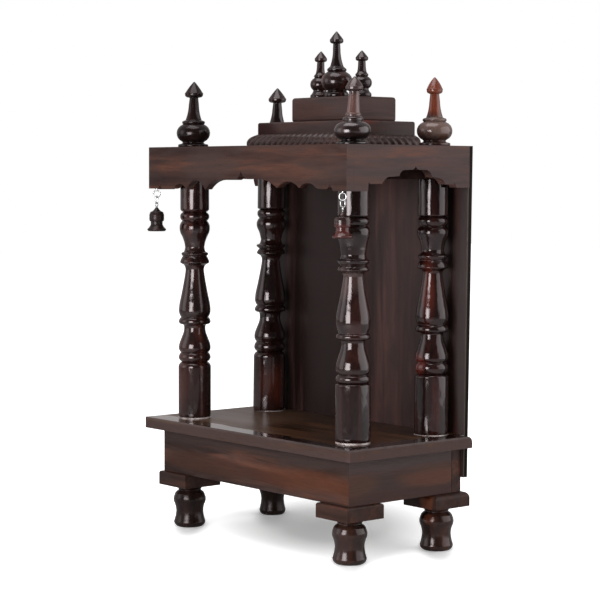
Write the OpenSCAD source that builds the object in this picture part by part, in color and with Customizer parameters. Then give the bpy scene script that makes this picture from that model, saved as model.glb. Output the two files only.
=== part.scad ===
// Wooden pooja mandir: an open home shrine on four turned pillars.
// Origin: middle of the footprint, on the floor. +X is right seen from the front, +Y is back, +Z is up.

/* [Overall] */
// Width of the roof box across the front
roof_w = 450; // [400:1:560]
// Depth from the roof's front face to the back of the panel
depth = 236.5; // [215:0.5:300]
// Running clearance round a screw shank in its pilot hole
fit_gap = 0.05; // [0.02:0.01:0.1]

/* [Base] */
// Height of a turned foot
foot_h = 62; // [50:1:80]
// Distance from the roof's side face in to a foot's axis
foot_in = 42.5; // [38:0.5:60]
// Distance from the roof's front face back to a front foot's axis
foot_front_in = 45; // [40:0.5:60]
// Distance from the panel's back face forward to a back foot's axis
foot_back_in = 30.5; // [30:0.5:60]
// How far the back right foot stands out of line with the others
foot_back_right_out = 3; // [0:0.5:5]
// Thickness of the back left foot, as a share of the others'
foot_back_left_slim = 0.87; // [0.8:0.01:1]
// Side of a square foot plate
plate_w = 66.5; // [55:0.5:76]
// Thickness of a foot plate
plate_t = 20.5; // [12:0.5:30]
// Rounding of the front plates' upper edges
plate_front_round = 3; // [1:0.5:8]
// Rounding of the back plates' upper edges
plate_back_round = 8; // [1:0.5:10]
// Height of the apron boards
apron_h = 64.5; // [40:0.5:90]
// Thickness of the apron boards
apron_t = 18; // [12:0.5:24]
// Distance from the roof's front face back to the apron
apron_in = 18; // [8:0.5:30]
// Thickness of the base slab
slab_t = 16.5; // [12:0.5:24]
// How far the slab runs past the roof at each end
slab_over = 8.8; // [4:0.2:20]
// Rounding of the slab's back upper edge, where its ends stand out past the panel
slab_round = 9; // [1:0.5:11]

/* [Pillars] */
// Height of a pillar, from the slab to the ceiling board
pillar_h = 360; // [290:1:440]
// Diameter of a pillar's plain lower part
pillar_d = 48.8; // [38:0.2:58]
// Distance from the roof's side face in to a pillar's axis
pillar_in = 45; // [40:0.5:60]
// Distance from the roof's front face back to a front pillar's axis
pillar_front_in = 52.5; // [42:0.5:70]
// Distance from the panel's back face forward to a back pillar's axis
pillar_back_in = 36.5; // [36:0.5:60]
// How far the back left pillar stands out of line with the others
pillar_back_left_out = 1.5; // [0:0.5:4]

/* [Back panel] */
// Thickness of the back panel
panel_t = 8; // [5:0.5:14]
// Width of the back panel at its lower edge
panel_low_w = 432; // [400:1:540]
// Width of the back panel at its upper edge
panel_top_w = 447; // [400:1:560]
// How far the panel hangs down over the apron
panel_lap = 44; // [10:1:60]

/* [Roof box] */
// Height of the fascia boards
fascia_h = 62.8; // [50:0.2:80]
// Thickness of the front fascia board
front_t = 12; // [10:0.5:18]
// Thickness of the side fascia boards
side_t = 14; // [10:0.5:20]
// How far the fascia boards hang below the ceiling board
fascia_drop = 16.5; // [12:0.5:20]
// Thickness of the ceiling board and of the top board
roof_board_t = 12; // [8:0.5:16]
// Uncut length at the left end of the front board's lower edge
front_foot = 23.5; // [15:0.5:40]
// How far the front board's cut pattern sits to the left of the middle
front_cut_shift = 2; // [0:0.5:10]
// Distance from the roof's front face back to the front end of a side board's cut
side_cut_front = 38; // [20:1:50]
// Distance from the panel's front face forward to the back end of a side board's cut
side_cut_back = 20; // [10:1:40]
// Distance from the panel's front face forward to the peak of a side board's cut
side_peak_in = 103; // [80:0.5:115]

/* [Roof tiers] */
// Width of the lower tier
tier_w = 213; // [160:1:260]
// Depth of the lower tier, from the panel's back face forward
tier_d = 123; // [100:1:160]
// Thickness of each tier
tier_t = 36.4; // [24:0.2:44]
// Width of the upper tier
block_w = 132.5; // [124:0.5:150]
// Depth of the upper tier, from the panel's back face forward
block_d = 91; // [86:0.5:98]
// Height of the rope moulding along the lower tier's front
moulding_front_h = 19; // [10:0.5:24]
// Height of the rope moulding along the lower tier's ends
moulding_side_h = 16.5; // [10:0.5:24]
// How far the rope moulding stands out from the lower tier
moulding_p = 13.5; // [8:0.5:18]

/* [Finials] */
// Height of a front corner finial
front_finial_h = 98; // [78:0.5:120]
// Height of the back right finial
back_finial_h = 96.5; // [78:0.5:120]
// Height of the back left finial
back_left_finial_h = 93; // [78:0.5:120]
// Distance from the roof's side face in to a front corner finial's axis
front_finial_in = 45; // [40:0.5:60]
// Distance from the roof's side face in to the back right finial's axis
back_finial_in = 46.5; // [40:0.5:60]
// Distance from the roof's side face in to the back left finial's axis
back_left_finial_in = 54; // [40:0.5:60]
// Distance from the roof's front face back to the front corner finials' axes
front_finial_y = 49.5; // [40:0.5:60]
// Distance from the panel's back face forward to the back corner finials' axes
back_finial_y = 30; // [26:0.5:40]
// Height of the centre finial
centre_finial_h = 96.5; // [78:0.5:120]
// Height of the left small finial
left_small_finial_h = 70; // [54:0.5:84]
// Height of the right small finial
right_small_finial_h = 68; // [54:0.5:84]
// Distance from the panel's back face forward to the centre finial's axis
centre_finial_in = 60; // [50:0.5:66]
// Distance from the panel's back face forward to a small finial's axis
small_finial_in = 51.5; // [30:0.5:66]
// Distance from the middle out to a small finial's axis
small_finial_x = 47; // [44:0.5:49]

/* [Bells] */
// Distance from the roof's side face in to a bell's axis
bell_in = 13.5; // [12:0.5:16]
// Distance from the roof's front face back to a bell's axis
bell_back = 5; // [4:0.5:7]
// Outer diameter of the screw eye's ring
eye_d = 12; // [10:0.5:14]
// Wire of the screw eye
eye_wire = 1.8; // [1.4:0.1:2.4]
// Outer width of the chain link
link_w = 9; // [8:0.5:11]
// Outer height of the chain link
link_h = 12.5; // [11:0.5:16]
// Wire of the chain link
link_wire = 1.5; // [1.2:0.1:1.8]
// Outer diameter of the ring on the bell
bell_eye_d = 7.5; // [7:0.5:10]
// Wire of the ring on the bell
bell_eye_wire = 1.2; // [1:0.1:1.6]
// Slack between two rings that hang in each other
ring_gap = 0.15; // [0.05:0.05:0.4]
// Height of a bell
bell_h = 36; // [30:0.5:42]
// Diameter of a bell's rim
bell_rim_d = 28; // [24:0.5:32]
// Diameter of the hollow at a bell's mouth
bell_mouth_d = 21; // [16:0.5:23]
// Depth of the hollow in a bell
bell_hollow_h = 12; // [8:0.5:14]

/* [Hidden] */
$fn = 64;
left = -1;
right = 1;
lift = 0.1;                 // how far a cutting shape runs past the face it cuts
arc_steps = 6;              // flats in one arc of an outline
quarter_bow = 0.2929;       // rise of a quarter circle's arc over its chord, for a radius of 1

// Colours of the lacquered wood and of the metal
dark_wood = "#35211b";
board_wood = "#57372c";
panel_wood = "#4a3c35";
red_wood = "#6a3a26";
bright_metal = "#c9ccd0";

// Heights of the stack
plate_z = foot_h;
apron_z = plate_z + plate_t;
slab_z = apron_z + apron_h;
slab_top = slab_z + slab_t;
ceiling_z = slab_top + pillar_h;
fascia_z = ceiling_z - fascia_drop;
roof_top = fascia_z + fascia_h;
tier_top = roof_top + tier_t;
block_top = tier_top + tier_t;

// Places across the front and from front to back
body_w = roof_w - 2 * side_t;       // width of what fits between the side fascias
slab_w = roof_w + 2 * slab_over;
panel_front = depth - panel_t;
panel_z = slab_z - panel_lap;
foot_x = roof_w / 2 - foot_in;
foot_back_y = depth - foot_back_in;
foot_back_right_x = foot_x + foot_back_right_out;
bell_front = bell_back - bell_rim_d / 2;
mid_depth = (bell_front + max(depth, foot_back_y + plate_w / 2)) / 2;
pillar_x = roof_w / 2 - pillar_in;
pillar_back_y = depth - pillar_back_in;
pillar_back_left_x = pillar_x + pillar_back_left_out;
bell_x = roof_w / 2 - bell_in;

// Hanging parts: heights of the wires' centre lines, from the front fascia down
shank_d = 2.2;                      // shank of the screw eye
shank_in = 12;                      // how deep it goes into the wood
bell_shank_d = 1.6;
bell_shank_in = 8;
neck_h = 1;                         // bare shank between the fascia and the ring
eye_z = fascia_z - neck_h - eye_d / 2;
eye_low = eye_z - (eye_d - eye_wire) / 2;
link_high = eye_low + (eye_wire + link_wire) / 2 + ring_gap;
link_low = link_high - (link_h - link_wire);
bell_eye_high = link_low + (link_wire + bell_eye_wire) / 2 + ring_gap;
bell_eye_z = bell_eye_high - (bell_eye_d - bell_eye_wire) / 2;
bell_top = bell_eye_z - bell_eye_d / 2;
bell_z = bell_top - bell_h;

// How far each ring is turned about the vertical: screw eye, link, ring on the bell
left_turns = [50, -10, -70];
right_turns = [20, 85, 145];

// Outlines. Each row is [distance along, distance out, bow of the arc that ends there].
// Lower edges of the fascia boards, from the pattern's middle to its end. The first number of a row is a
// percent of the way. The left and right halves, and the front and back halves, were sawn by eye.
front_cut_left = [
    [0, 28, 0], [6.5, 14.4, -3], [24, 14.4, 0], [41, 0.5, 3.5], [42, 0.5, 0],
    [64, 0, 13], [65, 0, 0], [77.5, 5.5, 5.2], [83.5, 1, -1], [95.5, 1, 0],
    [97.5, 10.5, -1.2], [100, 1, -0.8]
];
front_cut_right = [
    [0, 28, 0], [7, 15.6, -3], [22, 16, 0], [40, 4, 2.2], [41, 4, 0],
    [64, 4.2, 8.2], [65, 4.2, 0], [79.5, 7.5, 4.5], [85.5, 2.7, -1], [93.5, 2.7, 0],
    [96.5, 10.7, -1], [100, 0, -0.8]
];
side_cut_forward = [
    [0, 34.5, 0], [7, 29, -1], [24, 28.6, 0], [35, 20.3, 2], [58, 19.2, 0],
    [71, 9.8, 1.2], [94, 9.6, 0], [98.5, 12, -0.5], [100, 0, 0]
];
left_cut_back = [
    [0, 34.5, 0], [7, 29, -1], [26, 28.8, 0], [36.5, 21, 2], [55, 20, 0],
    [68, 15.5, 1.2], [88, 15.5, 0], [91, 17.5, -0.3], [95, 4.5, -0.8], [100, 4.5, 0]
];
right_cut_back = [
    [0, 34.5, 0], [7, 29, -1], [26, 28.8, 0], [36.5, 19.2, 2], [55, 17.2, 0],
    [68, 9, 1.5], [87, 9, 0], [90, 11.8, -0.3], [95, 4.5, -0.8], [100, 4.5, 0]
];

// Turned pieces, from the bottom up: height, radius
foot_turning = [
    [0, 20.5, 0], [5.5, 23.7, 1], [21, 20.2, -0.6], [34.7, 22.6, -0.7], [48, 22.8, 1.6],
    [54.5, 17.5, 1], [56, 16.7, 0], [63, 24.7, -1.2]
];
corner_turning = [
    [0, 22, 0], [3.8, 22, 0.6], [4.6, 18.4, 0], [11, 15.5, -1], [12.5, 17, 0], [33.3, 17, 8.1],
    [34.6, 15.5, 0], [39.2, 15.5, 1.6], [41, 12.4, 0], [61.7, 7.8, -0.9], [73.6, 6.6, 0],
    [75.4, 11.2, 0], [79.8, 12.6, 0.6], [96.5, 0.8, -0.8]
];
centre_turning = [
    [0, 16.6, 0], [6.8, 16.6, 0.8], [9.4, 14, 0], [10, 14.4, 0], [36.6, 14.8, 8.6], [38, 13, 0],
    [42.4, 13, 1.4], [45, 10, 0], [71, 5.3, -1.2], [78, 5, 0], [79.6, 8.6, 0],
    [84.3, 9.8, 0.5], [96, 0.7, -0.6]
];
small_turning = [
    [0, 13.6, 0], [5.2, 13.6, 0.7], [11, 10, -0.6], [12, 10.2, 0], [28.6, 9.8, 4.8], [29.8, 8.4, 0],
    [33.6, 8.4, 1.2], [36, 6.8, 0], [46, 5.2, -0.3], [50.6, 5, 0], [52, 7.2, 0],
    [55.5, 8.1, 0.4], [67, 0.6, -0.5]
];
bell_turning = [
    [0, 12.4, 0], [4.2, 14, 0.5], [10.5, 9.8, -1.5], [16.5, 9.6, 0], [17.3, 11.3, 0], [28, 10.7, 0.3],
    [29.5, 9.8, 0.2], [32, 5.6, -0.5], [36, 1.9, -0.5]
];

marked_radius = 24.4;       // radius of a pillar's plain lower part that its other radii belong to
// The four pillars were turned by hand, so their rings lie at slightly different heights.
// Heights above the slab: shoulder, groove, lower ring, groove, vase, its throat, middle ring, groove,
// bottle, its throat, lower collar, gap, upper collar, neck, bowl, groove, top ring, groove, plain top
pillar_marks = [
    ["front_left", [76.5, 84.5, 91, 98.5, 106, 135, 145, 151.5, 162.5,
        221.5, 235, 243.5, 247.5, 257.5, 286, 296.5, 303, 309.5, 314]],
    ["front_right", [79, 82, 87.5, 94, 102, 137, 145.5, 150.5, 168,
        225.5, 237.5, 243, 248.5, 257.5, 288, 296.5, 302.5, 308.5, 310.5]],
    ["back_left", [84, 91.5, 98.5, 107, 115.5, 144.5, 157, 163.5, 173.5,
        232.5, 245.5, 251.5, 256.5, 266, 289.5, 299, 306.5, 312.5, 315]],
    ["back_right", [81.5, 85, 94, 102.5, 108.5, 141.5, 148.5, 155.5, 166.5,
        226.5, 237, 246, 252, 261, 285.5, 293.5, 301.5, 307.5, 309.5]]
];
// Radius of the upper collar and of the neck over it
pillar_waists = [
    ["front_left", [20.3, 14.4]], ["front_right", [22.3, 17]],
    ["back_left", [22.7, 15.8]], ["back_right", [21.1, 15.6]]
];

// The value that stands beside a name in a table
function look_up(table, name) = [for (entry = table) if (entry[0] == name) entry[1]][0];

// Outline of a pillar 360 mm high and twice marked_radius thick, from its marks m, its upper collar and neck
function pillar_turning(m, collar, neck) =
    let (vase = m[5] - m[4], bottle = m[9] - m[8], bowl = m[14] - m[13])
    [
        [0, 24, 0], [4, marked_radius, 0], [m[0], marked_radius, 0], [m[1], 18.9, 1.5],
        [m[2], 24, 1.3], [m[3], 20.5, 0.9],
        [m[4], 23.9, 1], [m[4] + vase * 0.3, 22.2, 0.4], [m[4] + vase * 0.7, 17.7, 0], [m[5], 16, -0.4],
        [m[6] - 5, 16.9, -0.3], [m[6] - 3.7, 19, 0], [m[6], 23.9, 1.5], [m[7], 20.4, 0.9],
        [m[8], 23.8, 1], [m[8] + bottle * 0.25, 21.9, 0.4], [m[8] + bottle * 0.885, 14.8, -0.3],
        [m[9], 13.9, 0],
        [m[10] - 4.5, 16.6, -1], [m[10] - 2, 21.2, 0], [m[10], 21.9, 0.2], [m[11], 17.9, 0.5],
        [m[12], collar, 0.6], [m[12] + 2.2, neck + 2.3, 0.5], [m[13], neck, -0.5],
        [m[13] + bowl * 0.2, neck + 1, 0], [m[13] + bowl * 0.7, 21.1, -0.5], [m[14], 22.7, 0.35],
        [m[15], 18.5, 1.2],
        [m[16], 21.9, 0.9], [m[17], 17.2, 1.3], [m[18], 21.66, 0.8], [360, 21.66, 0]
    ];

// Points of one arc of an outline, after its start
function bow(from, to) =
    let (across = [to.x - from.x, to.y - from.y], span = norm(across), rise = to.z)
    rise == 0 ? [[to.x, to.y]] :
    let (half = 2 * atan(2 * abs(rise) / span), radius = span / 2 / sin(half))
    [for (i = [1:arc_steps])
        let (a = half * (2 * i / arc_steps - 1))
        [from.x, from.y] + across / 2 * (1 + sin(a) / sin(half))
            + [-across.y, across.x] / span * sign(rise) * radius * (cos(a) - cos(half))];

// All points of an outline
function outline(rows) =
    [for (i = [0:len(rows) - 1]) each i == 0 ? [[rows[0].x, rows[0].y]] : bow(rows[i - 1], rows[i])];

// The rows of a turning stretched to another height and width
function stretched(rows, height, width) =
    let (tall = height / rows[len(rows) - 1].x)
    [for (r = rows) [r.x * tall, r.y * width, r.z * width]];

// A point's place measured back from the roof's front face
function from_front(y) = y - mid_depth;

// A turned piece that stands on a point
module turned(rows, x, y, z) {
    points = outline(rows);
    translate([x, from_front(y), z])
        rotate_extrude()
            polygon(concat([[0, points[0].x]], [for (p = points) [p.y, p.x]],
                [[0, points[len(points) - 1].x]]));
}

// A plain board from its front left lower corner
module board(x, y, z, size) {
    translate([x, from_front(y), z]) cube(size);
}

// A profile drawn across the front (x, z), pushed back
module pushed_back(y, length) {
    translate([0, from_front(y) + length, 0]) rotate([90, 0, 0]) linear_extrude(length) children();
}

// A profile drawn on the side (distance back, z), pushed to the right
module pushed_right(x, length) {
    translate([x, -mid_depth, 0]) rotate([90, 0, 90]) linear_extrude(length) children();
}

// A board's section with its two upper edges rounded
module rounded_section(start, width, z, height, radius) {
    rows = [
        [start, z, 0], [start, z + height - radius, 0],
        [start + radius, z + height, quarter_bow * radius],
        [start + width - radius, z + height, 0],
        [start + width, z + height - radius, quarter_bow * radius], [start + width, z, 0]
    ];
    polygon(outline(rows));
}

// Section of a fascia board. Its lower edge is cut to one pattern before the middle and another after it.
module fascia_section(before, after, start, end, middle, cut_start, cut_end) {
    first = outline([for (r = before) [r.x * (middle - cut_start) / 100, r.y, r.z]]);
    second = outline([for (r = after) [r.x * (cut_end - middle) / 100, r.y, r.z]]);
    last = len(first) - 1;
    far = len(second) - 1;
    polygon(concat(
        [[start, fascia_z + first[last].y]],
        [for (i = [last:-1:0]) [middle - first[i].x, fascia_z + first[i].y]],
        [for (i = [1:far]) [middle + second[i].x, fascia_z + second[i].y]],
        [[end, fascia_z + second[far].y], [end, roof_top], [start, roof_top]]
    ));
}

module foot(x, y, slim) {
    color(dark_wood) turned(stretched(foot_turning, foot_h, slim), x, y, 0);
}

module foot_plate(x, y, radius) {
    x0 = x - plate_w / 2;
    y0 = y - plate_w / 2;
    color(board_wood) intersection() {
        pushed_back(y0, plate_w) rounded_section(x0, plate_w, plate_z, plate_t, radius);
        pushed_right(x0, plate_w) rounded_section(y0, plate_w, plate_z, plate_t, radius);
    }
}

module apron_board(y) {
    color(board_wood) board(-body_w / 2, y, apron_z, [body_w, apron_t, apron_h]);
}

module apron_end(side) {
    length = panel_front - apron_in - 2 * apron_t;
    x0 = side == left ? -body_w / 2 : body_w / 2 - apron_t;
    color(board_wood) board(x0, apron_in + apron_t, apron_z, [apron_t, length, apron_h]);
}

// Half the panel's width at a height
function panel_reach(z) =
    panel_low_w / 2 + (panel_top_w - panel_low_w) / 2 * (z - panel_z) / (roof_top - panel_z);

module base_slab() {
    reach = panel_reach(slab_top);
    ear = slab_w / 2 - reach;
    color(board_wood) {
        board(-reach, 0, slab_z, [2 * reach, panel_front, slab_t]);
        for (x0 = [-slab_w / 2, reach])
            pushed_right(x0, ear) polygon(outline([
                [0, slab_z, 0], [panel_front, slab_z, 0], [panel_front, slab_top - slab_round, 0],
                [panel_front - slab_round, slab_top, -quarter_bow * slab_round], [0, slab_top, 0]
            ]));
    }
}

module pillar(name, x, y) {
    waist = look_up(pillar_waists, name);
    rows = pillar_turning(look_up(pillar_marks, name), waist[0], waist[1]);
    color(dark_wood) turned(stretched(rows, pillar_h, pillar_d / 2 / marked_radius), x, y, slab_top);
}

module back_panel() {
    low = panel_low_w / 2;
    top = panel_top_w / 2;
    color(panel_wood) pushed_back(panel_front, panel_t)
        polygon([[-low, panel_z], [low, panel_z], [top, roof_top], [-top, roof_top]]);
}

module fascia_front() {
    color(board_wood) difference() {
        pushed_back(0, front_t)
            fascia_section(front_cut_left, front_cut_right, -roof_w / 2, roof_w / 2, -front_cut_shift,
                front_foot - roof_w / 2, roof_w / 2 - front_foot - 2 * front_cut_shift);
        for (side = [left, right])
            translate([side * bell_x, from_front(bell_back), fascia_z - lift])
                cylinder(h = shank_in + fit_gap + lift, d = shank_d + 2 * fit_gap);
    }
}

module fascia_side(x0, cut_back) {
    color(board_wood) pushed_right(x0, side_t)
        fascia_section(side_cut_forward, cut_back, front_t, panel_front, panel_front - side_peak_in,
            side_cut_front, panel_front - side_cut_back);
}

module inner_board(z) {
    color(panel_wood) board(-body_w / 2, front_t, z, [body_w, panel_front - front_t, roof_board_t]);
}

module tier(width, back, z) {
    color(dark_wood) board(-width / 2, depth - back, z, [width, back, tier_t]);
}

// Section of the rope moulding: foot at the outer edge, curving in to the tier
module moulding_section(outer, inner, height) {
    polygon(outline([
        [outer, roof_top, 0], [outer, roof_top + height * 0.35, 0],
        [inner, roof_top + height, sign(inner - outer) * moulding_p * 0.25], [inner, roof_top, 0]
    ]));
}

module rope_moulding_front() {
    half = tier_w / 2;
    y1 = depth - tier_d;
    color(dark_wood) intersection() {
        pushed_right(-half - moulding_p, tier_w + 2 * moulding_p)
            moulding_section(y1 - moulding_p, y1, moulding_front_h);
        translate([0, from_front(y1), roof_top - lift]) linear_extrude(moulding_front_h + 2 * lift)
            polygon([[-half, 0], [half, 0],
                [half + moulding_p, -moulding_p], [-half - moulding_p, -moulding_p]]);
    }
}

module rope_moulding_end(side) {
    half = tier_w / 2;
    y1 = depth - tier_d;
    color(dark_wood) intersection() {
        pushed_back(y1 - moulding_p, tier_d + moulding_p)
            moulding_section(side * (half + moulding_p), side * half, moulding_side_h);
        translate([0, from_front(y1), roof_top - lift]) linear_extrude(moulding_side_h + 2 * lift)
            polygon([[side * half, 0], [side * half, tier_d],
                [side * (half + moulding_p), tier_d], [side * (half + moulding_p), -moulding_p]]);
    }
}

module corner_finial(x, y, height, tone) {
    color(tone) turned(stretched(corner_turning, height, 1), x, y, roof_top);
}

module finial_centre() {
    color(dark_wood)
        turned(stretched(centre_turning, centre_finial_h, 1), 0, depth - centre_finial_in, block_top);
}

module finial_small(side, height) {
    color(dark_wood) turned(stretched(small_turning, height, 1),
        side * small_finial_x, depth - small_finial_in, block_top);
}

// Moves a hanging piece to its bell's axis and turns it about the vertical
module hung(side, z, which) {
    turns = side == left ? left_turns : right_turns;
    translate([side * bell_x, from_front(bell_back), z]) rotate([0, 0, turns[which]]) children();
}

// A ring of round wire that stands upright
module ring(outer, wire) {
    rotate([90, 0, 0]) rotate_extrude() translate([(outer - wire) / 2, 0]) circle(d = wire, $fn = 24);
}

module screw_eye(side) {
    color(bright_metal) hung(side, eye_z, 0) {
        ring(eye_d, eye_wire);
        translate([0, 0, (eye_d - eye_wire) / 2]) cylinder(h = eye_wire / 2 + neck_h + shank_in, d = shank_d);
    }
}

module chain_link(side) {
    reach = (link_w - link_wire) / 2;
    straight = link_high - link_low - 2 * reach;
    color(bright_metal) hung(side, (link_high + link_low) / 2, 1) {
        for (end = [0, 180])
            rotate([0, end, 0]) translate([0, 0, straight / 2]) rotate([90, 0, 0])
                rotate_extrude(angle = 180) translate([reach, 0]) circle(d = link_wire, $fn = 24);
        for (x = [-reach, reach])
            translate([x, 0, -straight / 2]) cylinder(h = straight, d = link_wire, $fn = 24);
    }
}

module bell_eye(side) {
    color(bright_metal) hung(side, bell_eye_z, 2) {
        ring(bell_eye_d, bell_eye_wire);
        translate([0, 0, -bell_eye_d / 2 - bell_shank_in])
            cylinder(h = bell_shank_in + bell_eye_wire / 2, d = bell_shank_d);
    }
}

module bell(side, tone) {
    widest = bell_turning[1].y;
    hollow = [
        [-lift, bell_mouth_d / 2, 0], [0, bell_mouth_d / 2, 0],
        [bell_hollow_h * 0.8, bell_mouth_d * 0.26, -bell_mouth_d * 0.04],
        [bell_hollow_h, 0, bell_mouth_d * 0.05]
    ];
    color(tone) difference() {
        turned(stretched(bell_turning, bell_h, bell_rim_d / 2 / widest), side * bell_x, bell_back, bell_z);
        turned(hollow, side * bell_x, bell_back, bell_z);
        translate([side * bell_x, from_front(bell_back), bell_top - bell_shank_in - fit_gap])
            cylinder(h = bell_shank_in + fit_gap + lift, d = bell_shank_d + 2 * fit_gap);
    }
}

foot(-foot_x, foot_front_in, 1);  // foot_front_left
foot(foot_x, foot_front_in, 1);  // foot_front_right
foot(-foot_x, foot_back_y, foot_back_left_slim);  // foot_back_left
foot(foot_back_right_x, foot_back_y, 1);  // foot_back_right
foot_plate(-foot_x, foot_front_in, plate_front_round);  // foot_plate_front_left
foot_plate(foot_x, foot_front_in, plate_front_round);  // foot_plate_front_right
foot_plate(-foot_x, foot_back_y, plate_back_round);  // foot_plate_back_left
foot_plate(foot_back_right_x, foot_back_y, plate_back_round);  // foot_plate_back_right
apron_board(apron_in);  // apron_front
apron_board(panel_front - apron_t);  // apron_back
apron_end(left);  // apron_left
apron_end(right);  // apron_right
base_slab();
pillar("front_left", -pillar_x, pillar_front_in);  // pillar_front_left
pillar("front_right", pillar_x, pillar_front_in);  // pillar_front_right
pillar("back_left", -pillar_back_left_x, pillar_back_y);  // pillar_back_left
pillar("back_right", pillar_x, pillar_back_y);  // pillar_back_right
back_panel();
fascia_front();
fascia_side(-roof_w / 2, left_cut_back);  // fascia_left
fascia_side(roof_w / 2 - side_t, right_cut_back);  // fascia_right
inner_board(ceiling_z);  // ceiling_board
inner_board(roof_top - roof_board_t);  // roof_board
tier(tier_w, tier_d, roof_top);  // tier_lower
tier(block_w, block_d, tier_top);  // tier_upper
rope_moulding_front();
rope_moulding_end(left);  // rope_moulding_left
rope_moulding_end(right);  // rope_moulding_right
corner_finial(front_finial_in - roof_w / 2, front_finial_y, front_finial_h, dark_wood);  // finial_front_left
corner_finial(roof_w / 2 - front_finial_in, front_finial_y, front_finial_h, dark_wood);  // finial_front_right
corner_finial(back_left_finial_in - roof_w / 2, depth - back_finial_y, back_left_finial_h, dark_wood);  // finial_back_left
corner_finial(roof_w / 2 - back_finial_in, depth - back_finial_y, back_finial_h, red_wood);  // finial_back_right
finial_centre();
finial_small(left, left_small_finial_h);  // finial_small_left
finial_small(right, right_small_finial_h);  // finial_small_right
screw_eye(left);  // screw_eye_left
screw_eye(right);  // screw_eye_right
chain_link(left);  // chain_link_left
chain_link(right);  // chain_link_right
bell_eye(left);  // bell_eye_left
bell_eye(right);  // bell_eye_right
bell(left, dark_wood);  // bell_left
bell(right, red_wood);  // bell_right
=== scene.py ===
import math
import random

import bmesh
import bpy
from mathutils import Euler, Matrix, Vector


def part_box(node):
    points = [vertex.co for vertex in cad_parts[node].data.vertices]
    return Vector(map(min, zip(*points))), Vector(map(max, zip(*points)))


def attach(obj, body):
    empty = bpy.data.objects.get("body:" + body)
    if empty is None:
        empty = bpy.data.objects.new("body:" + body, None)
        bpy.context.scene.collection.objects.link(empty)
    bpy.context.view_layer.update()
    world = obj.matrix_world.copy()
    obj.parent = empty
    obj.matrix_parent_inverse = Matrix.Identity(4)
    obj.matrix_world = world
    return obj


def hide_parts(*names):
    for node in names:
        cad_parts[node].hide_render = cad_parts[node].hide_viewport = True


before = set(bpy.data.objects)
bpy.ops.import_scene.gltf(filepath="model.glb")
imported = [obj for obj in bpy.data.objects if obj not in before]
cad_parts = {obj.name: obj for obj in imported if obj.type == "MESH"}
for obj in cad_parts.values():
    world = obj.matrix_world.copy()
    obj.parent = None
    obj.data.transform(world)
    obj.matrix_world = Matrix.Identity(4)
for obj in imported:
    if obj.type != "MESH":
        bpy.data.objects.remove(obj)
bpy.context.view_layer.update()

scene = bpy.context.scene
scene.view_settings.view_transform = "Standard"
mm = 0.001
tiny = 0.00001      # heights or depths nearer than this are the same
weld = 0.000002     # corners nearer than this become one
up = Vector((0, 0, 1))

camera = {
    "place": (2.1203, -1.7804, 0.5254),
    "yaw": 50.09,        # degrees round the vertical, from looking straight at the front
    "pitch": -2.42,
    "roll": 0.14,
    "lens": 114.52,
    "sensor": 36,
    "shift": -0.07,
    "sees": (0.05, 60),
}


def makeCamera(v):
    data = bpy.data.cameras.new("camera")
    data.sensor_width = v["sensor"]
    data.lens = v["lens"]
    data.shift_y = v["shift"]
    data.clip_start, data.clip_end = v["sees"]
    cam = bpy.data.objects.new("camera", data)
    scene.collection.objects.link(cam)
    look = Euler((math.radians(90 + v["pitch"]), 0, math.radians(v["yaw"])), "XYZ").to_matrix()
    look = look @ Matrix.Rotation(math.radians(v["roll"]), 3, "Z")
    cam.matrix_world = Matrix.Translation(Vector(v["place"])) @ look.to_4x4()
    scene.camera = cam


makeCamera(camera)
print("camera ready")

studio = {
    "floorSize": 9,
    "floorWhite": 0.97,      # the floor's colour as the camera sees it
    "floorBounce": 0.55,     # its colour for the light that it throws back
    "floorGlow": [(0.0, 0.0), (0.115, 0.10), (0.27, 0.74), (1.0, 1.0)],    # share of white, outwards
    "shadeCentre": (-0.056, 0.111, 0),         # where the floor is darkest
    "shadeReach": (0.68, 1.20, 1),             # where the glow is full, across and along shadeTurn
    "shadeTurn": 50,
    "footShade": (0.036, 0.115, 1),            # across and along: the floor keeps its shade round each foot
    "footShadeShift": (0.0184, -0.0154, 0),    # from the foot's axis to the middle of that shade
    "footShadeRun": (0.2, 1.0),                # where it starts to fade and where it ends
    "footShadeGlow": (0.08, 1.0),              # the share of glow at those two
    "roomFill": 0.36,        # light from all round, on dull surfaces
    "roomPale": 0.46,        # what gloss shows of the room
    "roomDark": 0.06,        # what gloss shows on its dark side
    "roomTint": (1.0, 0.94, 0.945),
    "darkSide": (0.80, -0.60, 0.05),
    "darkRun": (0.1, 0.75),  # how near to that side it starts to darken and is darkest
}
lamps = {
    # name: place, aimed at, width, height, brightness of its face
    "stripFront": ((0.42, -1.28, 0.46), (0.0, 0.0, 0.44), 0.64, 0.64, 10.4),
    "sideRight": ((1.45, 1.05, 0.8), (0.1, 0.0, 0.35), 2.2, 1.7, 1.5),
    "frontLeft": ((-1.35, -1.95, 0.8), (0.0, 0.0, 0.35), 1.2, 1.4, 1.0),
    "overhead": ((0.1, -0.4, 2.2), (0.0, 0.0, 0.3), 1.6, 1.3, 2.6),
}


def newTree(owner):
    owner.use_nodes = True
    tree = owner.node_tree
    tree.nodes.clear()
    return tree


def addNode(tree, kind, links=None, **settings):
    # links: input name or number -> a socket to join, or a plain value
    node = tree.nodes.new(kind)
    for key, value in settings.items():
        setattr(node, key, value)
    for key, value in (links or {}).items():
        if isinstance(value, bpy.types.NodeSocket):
            tree.links.new(value, node.inputs[key])
        else:
            node.inputs[key].default_value = value
    return node


def four(colour):
    return tuple(colour) + (1,)


def grey(x):
    return (x, x, x)


def maths(tree, way, *values):
    return addNode(tree, "ShaderNodeMath", dict(enumerate(values)), operation=way).outputs[0]


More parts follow.
